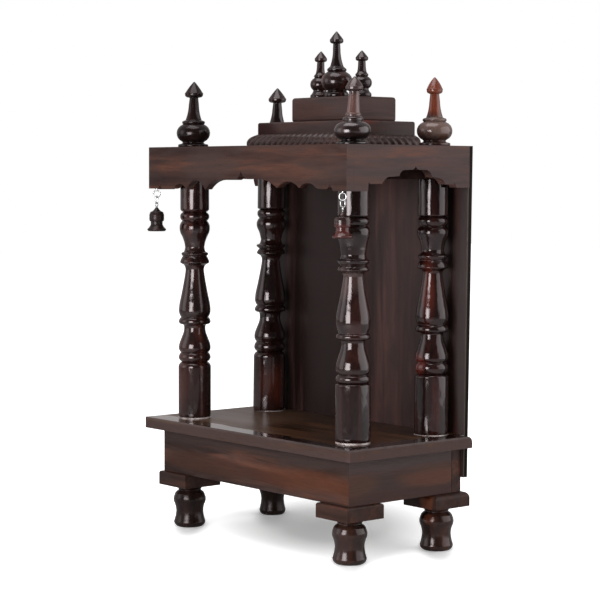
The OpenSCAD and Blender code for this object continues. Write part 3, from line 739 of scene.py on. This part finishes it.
backPanel = {"lowWidth": 0.432, "edge": 0.0006}
panelPaintedShadeAndLight = [
    # painted shade over the left part of the front face
    dict(at=(-0.08, 0.1134, 0.34), size=(0.130, 0.006, 0.32), colour=(0.0085, 0.0046, 0.0042), amount=0.9),
    # painted light at the right end of the front face
    dict(at=(0.225, 0.1134, 0.32), size=(0.030, 0.006, 0.30), colour=(0.060, 0.048, 0.047), amount=0.95)]
panelEdgeTones = dict(
    dark=(0.007, 0.0045, 0.0034), middle=(0.013, 0.0080, 0.0065), warm=(0.021, 0.0120, 0.0095),
    cool=(0.012, 0.0085, 0.007), gloss=0.05, bump=0.6)
panelEdgePatches = [
    dict(at=(0.22, 0.1137, 0.33), size=(0.05, 0.0013, 9.0), colour=(0.10, 0.078, 0.056), amount=0.8)]


def makePanel(v):
    # Narrower at the foot than under the roof
    lo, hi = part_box("back_panel")
    bm = blockShape(lo, hi)
    foot = [p for p in bm.verts if p.co.z < (lo.z + hi.z) / 2]
    bmesh.ops.scale(bm, vec=(v["lowWidth"] / (hi.x - lo.x), 1, 1), verts=foot)
    roundEdges(bm, bm.edges[:], v["edge"])
    face = woodFinish("back_panel", "panel", "z", 45, None, panelPaintedShadeAndLight)
    side = woodFinish("panel_edge", "board", "z", 48, panelEdgeTones, panelEdgePatches)
    addPiece("back_panel", bm, face, ends=bothEnds(side, side))


makePanel(backPanel)

tiers = {
    # node: seed, edge rounding, patches placed from the left, front and lower corner
    "tier_lower": (51, 0.003, [
        dict(at=(0.010, 0, 0.014), size=(0.050, 0.03, 0.030), colour=(0.020, 0.0042, 0.0036), amount=0.95),
        dict(at=(0.213, 0.012, 0.034), size=(0.03, 0.040, 0.007), colour=(0.11, 0.022, 0.015), amount=0.8)]),
    "tier_upper": (52, 0.0045, [
        dict(at=(0.03, 0, 0.018), size=(0.07, 0.03, 0.014), colour=(0.058, 0.026, 0.020), amount=0.6)]),
}
tierTones = dict(dark=(0.040, 0.021, 0.018), middle=(0.058, 0.031, 0.027), warm=(0.078, 0.038, 0.030),
                 cool=(0.052, 0.036, 0.034), gloss=0.2)


def makeTiers(table):
    for node, (seed, edge, patches) in table.items():
        lo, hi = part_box(node)
        patches = placed(patches, lo)
        face = woodFinish(node, "board", "x", seed, tierTones, patches)
        side = woodFinish(node + "_side", "board", "y", seed + 5, tierTones, patches)
        addPiece(node, boardShape(lo, hi, edge, segments=5), face, ends=bothEnds(side, side))


makeTiers(tiers)

slab = {"earRound": 0.009, "earFrom": 0.2168, "step": 0.0004, "edge": 0.0013, "upperEdge": 0.0028}
slabTones = dict(
    dark=(0.030, 0.0125, 0.0062), middle=(0.062, 0.0265, 0.0135), warm=(0.110, 0.050, 0.023),
    cool=(0.046, 0.024, 0.015), gloss=0.20, rough=0.31, glossTint=(1, 0.78, 0.68), coatRough=0.05, wave=0.10)
slabWet = dict(below=0.0022, width=0.027, drift=0.05, colour=(0.008, 0.003, 0.0022), amount=0.95)
slabEdgesAndPaintedReflection = [
    # painted reflection: a pale pinkish spot over the left part of the top
    dict(at=(-0.16, -0.03, 0.16), size=(0.13, 0.16, 0.05), colour=(0.135, 0.078, 0.052), amount=0.8),
    dict(at=(0.0, -0.1275, 0.150), size=(9.0, 0.020, 0.03), colour=(0.056, 0.034, 0.031), amount=1.0),
    dict(at=(0.2455, 0.0, 0.150), size=(0.020, 9.0, 0.03), colour=(0.068, 0.041, 0.038), amount=1.0)]


def onTop(edge, z):
    return all(abs(p.co.z - z) < tiny for p in edge.verts)


def runsBack(edge):
    # From front to back, as the slab's side edges do
    return abs(edge.verts[0].co.y - edge.verts[1].co.y) > 0.05


def slabShape(v, lo, hi):
    bm = blockShape(lo, hi)
    back = [e for e in bm.edges if onTop(e, hi.z) and all(abs(p.co.y - hi.y) < tiny for p in e.verts)]
    roundEdges(bm, back, v["earRound"], segments=8)
    upper = [e for e in sharpEdges(bm, 60)
             if onTop(e, hi.z) and (runsBack(e) or max(p.co.y for p in e.verts) < 0)]
    roundEdges(bm, upper, v["upperEdge"], segments=5)
    lower = [e for e in sharpEdges(bm, 60) if runsBack(e) or max(p.co.z for p in e.verts) < hi.z - tiny
             and max(p.co.y for p in e.verts) < hi.y - mm]
    roundEdges(bm, lower, v["edge"])
    for x in (-v["earFrom"] - v["step"], -v["earFrom"], v["earFrom"], v["earFrom"] + v["step"]):
        bmesh.ops.bisect_plane(bm, geom=bm.verts[:] + bm.edges[:] + bm.faces[:], plane_co=(x, 0, 0),
                               plane_no=(1, 0, 0))
    for p in bm.verts:   # the back edge stays square where the panel stands against it
        inRound = p.co.y > hi.y - v["earRound"] + tiny and p.co.z > hi.z - v["earRound"] - tiny
        if inRound and abs(p.co.x) < v["earFrom"] + tiny:
            p.co.y, p.co.z = hi.y, hi.z
    return bm


def makeSlab(v):
    lo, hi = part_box("base_slab")
    wet = dict(slabWet, front=lo.y, right=hi.x)
    wet["above"] = hi.z - wet.pop("below")
    finish = woodFinish("base_slab", "board", "x", 61, dict(slabTones, wet=wet), slabEdgesAndPaintedReflection)
    addPiece("base_slab", slabShape(v, lo, hi), finish)


makeSlab(slab)

footPlates = {
    # node: seed, rounding of the upper edge, patches
    "foot_plate_front_left": (71, 0.003, []), "foot_plate_front_right": (72, 0.003, []),
    "foot_plate_back_left": (73, 0.008, []),
    "foot_plate_back_right": (74, 0.008, [
        dict(at=(0.200, 0.06, 0.072), size=(0.014, 0.010, 0.016), colour=(0.15, 0.045, 0.02), amount=0.75)]),
}
plateTones = dict(dark=(0.027, 0.012, 0.0088), middle=(0.041, 0.0185, 0.0135), warm=(0.066, 0.025, 0.0165),
                  cool=(0.036, 0.020, 0.0165))
plateEdge = 0.001


def makePlates(table):
    for node, (seed, top, patches) in table.items():
        lo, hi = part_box(node)
        bm = blockShape(lo, hi)
        roundEdges(bm, [e for e in bm.edges if onTop(e, hi.z)], top, segments=6)
        roundEdges(bm, sharpEdges(bm, 60), plateEdge)
        addPiece(node, bm, woodFinish(node, "board", "x", seed, plateTones, patches))


makePlates(footPlates)
print("boards ready")

# Sawn edges, from the middle to the end: percent of the half length, height and bow in mm
fascia = {
    "frontLeft": [
        [0, 28, 0], [6.5, 14.4, -3], [24, 14.4, 0], [41, 0.5, 3.5], [42, 0.5, 0], [64, 0, 13], [65, 0, 0],
        [77.5, 5.5, 5.2], [83.5, 1, -1], [95.5, 1, 0], [97.5, 10.5, -1.2], [100, 1, -0.8]],
    "frontRight": [
        [0, 28, 0], [7, 15.6, -3], [22, 16, 0], [40, 4, 2.2], [41, 4, 0], [64, 4.2, 8.2], [65, 4.2, 0],
        [79.5, 7.5, 4.5], [85.5, 2.7, -1], [93.5, 2.7, 0], [96.5, 10.7, -1], [100, 0, -0.8]],
    "sideForward": [
        [0, 34.5, 0], [7, 29, -1], [24, 28.6, 0], [35, 20.3, 2], [58, 19.2, 0], [71, 9.8, 1.2],
        [94, 9.6, 0], [98.5, 12, -0.5], [100, 0, 0]],
    "leftBack": [
        [0, 34.5, 0], [7, 29, -1], [26, 28.8, 0], [36.5, 21, 2], [55, 20, 0], [68, 15.5, 1.2],
        [88, 15.5, 0], [91, 17.5, -0.3], [95, 4.5, -0.8], [100, 4.5, 0]],
    "rightBack": [
        [0, 34.5, 0], [7, 29, -1], [26, 28.8, 0], [36.5, 19.2, 2], [55, 17.2, 0], [68, 9, 1.5],
        [87, 9, 0], [90, 11.8, -0.3], [95, 4.5, -0.8], [100, 4.5, 0]],
    "frontHalf": 199.5, "frontMiddle": -0.002,
    "forwardHalf": 87.5, "backHalf": 83, "peakIn": 0.103,    # the peak's distance from the board's back end
    "edge": 0.0008, "jointEdge": 0.0001,
}
# Tones with painted light: the front board darker as painted shade, the right one lighter and greyer as a
# painted sheen
fasciaShadedAndLitTones = {
    "fascia_front": dict(
        dark=(0.027, 0.012, 0.0096), middle=(0.045, 0.0205, 0.016), warm=(0.086, 0.034, 0.021),
        cool=(0.043, 0.026, 0.023)),
    "fascia_left": None,
    "fascia_right": dict(dark=(0.050, 0.0265, 0.024), middle=(0.075, 0.039, 0.0355), gloss=0.24),
}


def cutOutline(before, beforeHalf, after, afterHalf, middle, left, right, low, top):
    # The cut edge from left to right, then the straight top
    first = outline([[x * beforeHalf / 100, z, bow] for x, z, bow in before])
    second = outline([[x * afterHalf / 100, z, bow] for x, z, bow in after])
    path = [(left, low + before[-1][1] * mm)]
    path += [(middle - x * mm, low + z * mm) for x, z in reversed(first)]
    path += [(middle + x * mm, low + z * mm) for x, z in second[1:]]
    path += [(right, low + after[-1][1] * mm), (right, top), (left, top)]
    clean = [path[0]]
    for p in path[1:]:
        if math.dist(p, clean[-1]) > 2 * tiny:
            clean.append(p)
    return clean


def roundRim(bm, face, edge):
    # A rounded rim round a flat face, drawn in two small steps
    for inset, rise in ((0.3, 0.7), (0.7, 0.3)):
        bmesh.ops.inset_region(bm, faces=[face], thickness=edge * inset, depth=edge * rise,
                               use_even_offset=True)


def sawnBoard(points, place, push, edge, farEdge):
    # place: turns a point of the outline into a position; push: from the first face to the second
    bm = bmesh.new()
    face = bm.faces.new([bm.verts.new(place(p)) for p in points])
    way = Vector(push).normalized()
    bmesh.ops.translate(bm, vec=way * edge, verts=bm.verts[:])
    made = bmesh.ops.extrude_face_region(bm, geom=[face], use_keep_orig=True)
    far = only(bmesh.types.BMFace, made["geom"])[0]
    bmesh.ops.translate(bm, vec=Vector(push) - way * (edge + farEdge), verts=list(far.verts))
    bmesh.ops.recalc_face_normals(bm, faces=bm.faces[:])
    roundRim(bm, face, edge)
    roundRim(bm, far, farEdge)
    return bm


def makeFascias(v):
    finishes = {}
    for node, back, seed in (("fascia_left", "leftBack", 82), ("fascia_right", "rightBack", 83)):
        lo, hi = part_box(node)
        points = cutOutline(v["sideForward"], v["forwardHalf"], v[back], v["backHalf"], hi.y - v["peakIn"],
                            lo.y, hi.y, lo.z, hi.z)
        bm = sawnBoard(points, lambda p: (lo.x, *p), (hi.x - lo.x, 0, 0), v["jointEdge"], v["jointEdge"])
        finishes[node] = woodFinish(node, "board", "y", seed, fasciaShadedAndLitTones[node])
        addPiece(node, bm, finishes[node])
    lo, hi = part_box("fascia_front")
    points = cutOutline(v["frontLeft"], v["frontHalf"], v["frontRight"], v["frontHalf"], v["frontMiddle"],
                        lo.x, hi.x, lo.z, hi.z)
    bm = sawnBoard(points, lambda p: (p[0], lo.y, p[1]), (0, hi.y - lo.y, 0), v["edge"], v["jointEdge"])
    finish = woodFinish("fascia_front", "board", "x", 81, fasciaShadedAndLitTones["fascia_front"])
    addPiece("fascia_front", bm, finish,
             ends=bothEnds(finishes["fascia_left"], finishes["fascia_right"]))


makeFascias(fascia)
print("fascia boards ready")

moulding = {
    "pitch": 0.0134, "groove": 0.0036,
    "foot": 0.10,        # share of the height that stands upright
    "belly": 0.34,       # bow of the rest, as a share of its depth
    "perReed": 10,       # steps along one reed
    "lean": 0.9,         # reeds that the slant crosses from foot to top
    "fullness": 0.7,     # lower is flatter with sharper grooves
    "outLeast": 0.2, "downShare": 0.6, "fade": 0.25,
    "inset": 0.002,
}
mouldingTones = dict(dark=(0.026, 0.013, 0.011), middle=(0.052, 0.026, 0.022), warm=(0.088, 0.040, 0.030),
                     cool=(0.046, 0.031, 0.029), gloss=0.4, rough=0.32)


def mouldingShape(v, along, start, end, base, top, deep, reach, face, mitres, lean):
    # along: 0 for x, 1 for y; start and end at the tier's corners; reach: the way out from the tier's face
    height = top - base
    rows = [[0, 0, 0], [0, height * v["foot"], 0], [deep, height, deep * v["belly"]]]
    section = [(deep - x, z) for x, z in outline(rows)] + [(0, 0)]
    side = 1 - along
    bm = bmesh.new()

    def spot(out, z):
        p = [0, 0, base + z]
        p[along] = start
        p[side] = face + reach * out
        return p

    cap = bm.faces.new([bm.verts.new(spot(out, z)) for out, z in section])
    made = bmesh.ops.extrude_face_region(bm, geom=[cap], use_keep_orig=True)
    far = Vector((0, 0, 0))
    far[along] = end - start
    bmesh.ops.translate(bm, vec=far, verts=only(bmesh.types.BMVert, made["geom"]))
    reeds = max(1, round((end - start + sum(mitres) * deep) / v["pitch"]))
    long = [e for e in bm.edges if abs((e.verts[0].co - e.verts[1].co)[along]) > 10 * tiny]
    bmesh.ops.subdivide_edges(bm, edges=long, cuts=reeds * v["perReed"] - 1, use_grid_fill=True)
    for p in bm.verts:
        out = (p.co[side] - face) * reach
        z = p.co.z - base
        t = (p.co[along] - start) / (end - start)
        first, last = start - mitres[0] * out, end + mitres[1] * out
        p.co[along] = first + (last - first) * t
        if out > tiny and z > tiny or out > deep - tiny:
            phase = abs(math.sin(math.pi * (reeds * t - lean * v["lean"] * z / height)))
            cut = v["groove"] * (1 - phase ** v["fullness"])
            way = Vector((out / deep * (1 - v["outLeast"]) + v["outLeast"], z / height)).normalized()
            fade = min(1.0, out / (deep * v["fade"])) if z > tiny else 1.0
            p.co[side] -= reach * way.x * cut * fade
            if z > tiny:
                p.co.z -= way.y * cut * v["downShare"] * fade
    return bm


def makeMoulding(v):
    tierLo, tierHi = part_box("tier_lower")
    deep = tierLo.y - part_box("rope_moulding_front")[0].y - v["inset"]
    strips = {
        # node: along, start, end, way out, face, mitres, lean of the reeds, seed
        "rope_moulding_front": (0, tierLo.x, tierHi.x, -1, tierLo.y, (1, 1), 1, 91),
        "rope_moulding_left": (1, tierLo.y, tierHi.y, -1, tierLo.x, (1, 0), -1, 92),
        "rope_moulding_right": (1, tierLo.y, tierHi.y, 1, tierHi.x, (1, 0), -1, 93),
    }
    for node, (along, start, end, reach, face, mitres, lean, seed) in strips.items():
        lo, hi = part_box(node)
        bm = mouldingShape(v, along, start, end, lo.z, hi.z, deep, reach, face, mitres, lean)
        addPiece(node, bm, woodFinish(node, "board", "xy"[along], seed, mouldingTones))


makeMoulding(moulding)
print("rope moulding ready")

bells = {
    # Diameters of the rings, their wire and their shanks, in mm
    "eye": dict(wide=12, wire=1.8, shank=2.2, shankSteps=20), "link": dict(wide=9, wire=1.5),
    "bellEye": dict(wide=7.5, wire=1.2, shank=1.6, shankSteps=16),
    "wireSteps": 14, "ringSteps": 48,
    "eyeStop": 0.0002,               # how far the screw eye's shank stops short of the end of its room
    "mouth": 21, "hollow": 12,       # the hollow under the bell: its width and height in mm
    "steps": 64, "edge": 0.0003,
    # The way that the eye, the link and the bell's ring face, in degrees
    "left": (50, -10, -70), "right": (20, 85, 145),
}
bellTones = {
    "left": dict(dark=(0.011, 0.0062, 0.0058), middle=(0.019, 0.0115, 0.0108), warm=(0.036, 0.016, 0.0135),
                 gloss=0.30, rough=0.32),
    "right": dict(dark=(0.012, 0.006, 0.0055), middle=(0.034, 0.0155, 0.0145), warm=(0.070, 0.026, 0.022),
                  gloss=0.55, rough=0.11),
}
bellPatches = {
    # at from the bell's mouth and axis
    "left": [],
    "right": [dict(at=(0, 0, 0.010), size=(0.05, 0.05, 0.011), colour=(0.066, 0.0135, 0.0105), amount=0.85)],
}


def wireCircle(bm, centre, radius, across, normal, steps):
    made = bmesh.ops.create_circle(bm, segments=steps, radius=radius, cap_ends=False)
    turn = Matrix((across, normal, across.cross(normal))).transposed()
    bmesh.ops.rotate(bm, verts=made["verts"], cent=(0, 0, 0), matrix=turn)
    bmesh.ops.translate(bm, vec=centre, verts=made["verts"])
    return made["verts"]


def loopShape(v, centre, ring, angle, straight=0.0):
    # A wire loop that stands upright in the plane at that angle; straight stretches it downwards
    bm = bmesh.new()
    across = Vector((math.cos(math.radians(angle)), math.sin(math.radians(angle)), 0))
    normal = up.cross(across)
    top = centre + up * straight / 2
    reach = (ring["wide"] - ring["wire"]) / 2 * mm
    verts = wireCircle(bm, top + across * reach, ring["wire"] / 2 * mm, across, normal, v["wireSteps"])
    geom = verts + bm.edges[:]
    if straight == 0:
        bmesh.ops.spin(bm, geom=geom, cent=top, axis=normal, angle=math.tau, steps=v["ringSteps"],
                       use_merge=True, use_duplicate=False)
        return bm
    down = -up * straight
    for middle, step in ((top, down), (top + down, -down)):
        made = bmesh.ops.spin(bm, geom=geom, cent=middle, axis=normal, angle=-math.pi,
                              steps=v["ringSteps"] // 2, use_merge=False, use_duplicate=False)
        made = bmesh.ops.extrude_edge_only(bm, edges=only(bmesh.types.BMEdge, made["geom_last"]))
        moved = only(bmesh.types.BMVert, made["geom"])
        bmesh.ops.translate(bm, vec=step, verts=moved)
        edges = only(bmesh.types.BMEdge, made["geom"])
        geom = moved + [e for e in edges if all(p in moved for p in e.verts)]
    bmesh.ops.remove_doubles(bm, verts=bm.verts[:], dist=tiny)
    return bm


def addShank(bm, axis, ring, low, high):
    # Narrower at its lower end
    r = ring["shank"] / 2 * mm
    points = [(low, 0), (low, r * 0.7), (low + r * 0.4, r), (high, r), (high, 0)]
    spinLine(bm, points, axis, ring["shankSteps"])


def bellShape(v, node):
    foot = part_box(node)[0].z
    wide, tall = v["mouth"] / 2, v["hollow"]
    # Height, radius and bow, as in the turnings
    hollow = outline([[tall, 0, 0], [tall * 0.8, wide * 0.52, wide * 0.1], [0, wide, -wide * 0.08]])
    inner = [(foot + z * mm, r * mm) for z, r in hollow]
    return turnedShape(node, turning["bell"], v["steps"], v["edge"], inner)


def makeBells(v):
    wire = metalFinish("brightWire", brightWire, 101)
    for side, seed in (("left", 114), ("right", 115)):
        eyeWay, linkWay, ringWay = v[side]
        eye, ring = v["eye"], v["bellEye"]
        lo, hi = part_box("screw_eye_" + side)
        axis = turningAxis("screw_eye_" + side)
        bm = loopShape(v, axis + up * (lo.z + eye["wide"] / 2 * mm), eye, eyeWay)
        addShank(bm, axis, eye, lo.z + (eye["wide"] - eye["wire"] / 2) * mm, hi.z - v["eyeStop"])
        addPiece("screw_eye_" + side, bm, wire)

        lo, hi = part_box("chain_link_" + side)
        straight = hi.z - lo.z - v["link"]["wide"] * mm
        bm = loopShape(v, axis + up * (lo.z + hi.z) / 2, v["link"], linkWay, straight)
        addPiece("chain_link_" + side, bm, wire, side + "_chain")

        lo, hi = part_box("bell_eye_" + side)
        bm = loopShape(v, axis + up * (hi.z - ring["wide"] / 2 * mm), ring, ringWay)
        addShank(bm, axis, ring, lo.z, hi.z - (ring["wide"] - ring["wire"] / 2) * mm)
        addPiece("bell_eye_" + side, bm, wire, side + "_bell")

        node = "bell_" + side
        patches = placed(bellPatches[side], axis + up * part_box(node)[0].z)
        finish = woodFinish(node, "turned", "z", seed, bellTones[side], patches)
        addPiece(node, bellShape(v, node), finish, side + "_bell")


makeBells(bells)
print("bells ready")
